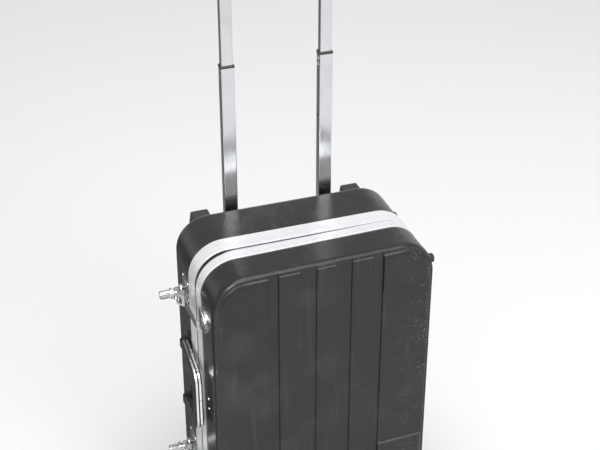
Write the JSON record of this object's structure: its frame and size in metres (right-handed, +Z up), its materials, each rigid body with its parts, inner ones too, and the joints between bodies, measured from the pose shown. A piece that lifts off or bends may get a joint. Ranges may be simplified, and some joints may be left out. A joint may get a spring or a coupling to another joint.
{
  "type": "rolling flight case",
  "caption": "Upright hard-shell rolling flight case with an aluminium edge frame, draw locks, a folding side handle, a telescopic pull handle and wheels.",
  "frame": {"origin": "on the floor, in the case's middle plane, under the front foot rail", "axes": "+Z up, +Y from the front shell to the back with the pull handle, +X to the hinged side"},
  "size_m": [0.4628, 0.2739, 1.1128],
  "materials": {
    "shell_plastic": "satin, fine grain",
    "frame_aluminium": "satin anodised",
    "gasket_rubber": "matt",
    "lining_fabric": "woven",
    "lock_chrome": "polished, lightly worn",
    "bright_steel": "bright",
    "black_steel": "black",
    "handle_plastic": "semi-gloss",
    "handle_trim_chrome": "polished",
    "tube_aluminium": "drawn, bright anodised",
    "moulded_black": "moulded, matt",
    "tyre_rubber": "matt",
    "hub_plastic": "moulded"
  },
  "bodies": {
    "case": {"back_shell": "shell_plastic", "back_frame": "frame_aluminium", "frame_gasket": "gasket_rubber", "back_lining": "lining_fabric", "hinge_back_leaves": "lock_chrome", "hinge_pins": "bright_steel", "lock_bases": "lock_chrome", "lock_pivot_pins": "bright_steel", "case_rivets": "bright_steel", "handle_brackets": "black_steel", "handle_pins": "black_steel", "housing_tube_left": "tube_aluminium", "housing_tube_right": "tube_aluminium", "tube_bracket_upper": "moulded_black", "tube_bracket_lower": "moulded_black", "case_screws": "black_steel", "stand_offs": "moulded_black", "back_side_feet": "moulded_black", "back_foot_studs": "bright_steel", "wheel_housing_left": "moulded_black", "wheel_housing_right": "moulded_black", "wheel_axles": "bright_steel"},
    "lid": {"front_shell": "shell_plastic", "front_frame": "frame_aluminium", "lid_lining": "lining_fabric", "hinge_lid_leaves": "lock_chrome", "lock_keepers": "lock_chrome", "lid_rivets": "bright_steel", "lid_side_feet": "moulded_black", "lid_foot_studs": "bright_steel", "foot_rail": "moulded_black", "foot_rail_pad": "gasket_rubber"},
    "barrel_upper": {"lock_barrel_upper": "lock_chrome", "hook_pin_upper": "bright_steel"},
    "hook_upper": {"lock_hook_upper": "lock_chrome"},
    "core_upper": {"lock_core_upper": "bright_steel"},
    "barrel_lower": {"lock_barrel_lower": "lock_chrome", "hook_pin_lower": "bright_steel"},
    "hook_lower": {"lock_hook_lower": "lock_chrome"},
    "core_lower": {"lock_core_lower": "bright_steel"},
    "side_handle": {"handle_bail": "handle_plastic", "handle_trim": "handle_trim_chrome"},
    "lower_stage": {"lower_tube_left": "tube_aluminium", "lower_tube_right": "tube_aluminium", "stage1_collars": "moulded_black", "stage1_shoes": "moulded_black"},
    "upper_stage": {"upper_tube_left": "tube_aluminium", "upper_tube_right": "tube_aluminium", "stage2_shoes": "moulded_black", "grip_body": "handle_plastic", "grip_cover": "moulded_black"},
    "release": {"release_button": "handle_plastic", "release_rods": "bright_steel"},
    "wheel_left": {"tyre_left": "tyre_rubber", "hub_left": "hub_plastic", "wheel_bearings_left": "bright_steel"},
    "wheel_right": {"tyre_right": "tyre_rubber", "hub_right": "hub_plastic", "wheel_bearings_right": "bright_steel"}
  },
  "joints": [
    {"name": "lid_hinge", "type": "hinge", "parent": "case", "child": "lid", "pos_m": [0.206, 0.058, 0.322], "axis": [0, 0, 1], "range_deg": [-1.6, 98]},
    {"name": "barrel_upper_tilt", "type": "hinge", "parent": "case", "child": "barrel_upper", "pos_m": [-0.212, 0.106, 0.4935], "axis": [0, 0, 1], "range_deg": [-90, 0]},
    {"name": "hook_upper_swing", "type": "hinge", "parent": "barrel_upper", "child": "hook_upper", "pos_m": [-0.223, 0.102, 0.4935], "axis": [0, 0, 1], "range_deg": [0, 90]},
    {"name": "core_upper_turn", "type": "hinge", "parent": "barrel_upper", "child": "core_upper", "pos_m": [-0.25, 0.106, 0.4935], "axis": [-1, 0, 0], "range_deg": [0, 90]},
    {"name": "barrel_lower_tilt", "type": "hinge", "parent": "case", "child": "barrel_lower", "pos_m": [-0.212, 0.106, 0.1505], "axis": [0, 0, 1], "range_deg": [-90, 0]},
    {"name": "hook_lower_swing", "type": "hinge", "parent": "barrel_lower", "child": "hook_lower", "pos_m": [-0.223, 0.102, 0.1505], "axis": [0, 0, 1], "range_deg": [0, 90]},
    {"name": "core_lower_turn", "type": "hinge", "parent": "barrel_lower", "child": "core_lower", "pos_m": [-0.25, 0.106, 0.1505], "axis": [-1, 0, 0], "range_deg": [0, 90]},
    {"name": "side_handle_swing", "type": "hinge", "parent": "case", "child": "side_handle", "pos_m": [-0.2115, 0.106, 0.322], "axis": [0, 0, 1], "range_deg": [-100, 0]},
    {"name": "lower_stage_slide", "type": "slide", "parent": "case", "child": "lower_stage", "axis": [0, 0, 1], "range_m": [-0.2915, 0]},
    {"name": "upper_stage_slide", "type": "slide", "parent": "lower_stage", "child": "upper_stage", "axis": [0, 0, 1], "range_m": [-0.2055, 0]},
    {"name": "release_button_press", "type": "slide", "parent": "upper_stage", "child": "release", "axis": [0, 0, 1], "range_m": [-0.0022, 0], "stiffness_N_per_m": 400, "springref_m": 0.004},
    {"name": "wheel_left_roll", "type": "hinge", "parent": "case", "child": "wheel_left", "pos_m": [-0.165, 0.202, 0.027], "axis": [1, 0, 0], "continuous": true},
    {"name": "wheel_right_roll", "type": "hinge", "parent": "case", "child": "wheel_right", "pos_m": [0.165, 0.202, 0.027], "axis": [1, 0, 0], "continuous": true}
  ],
  "couplings": [
    {"joint": "hook_upper_swing", "follows": "barrel_upper_tilt", "ratio": -1},
    {"joint": "hook_lower_swing", "follows": "barrel_lower_tilt", "ratio": -1}
  ]
}
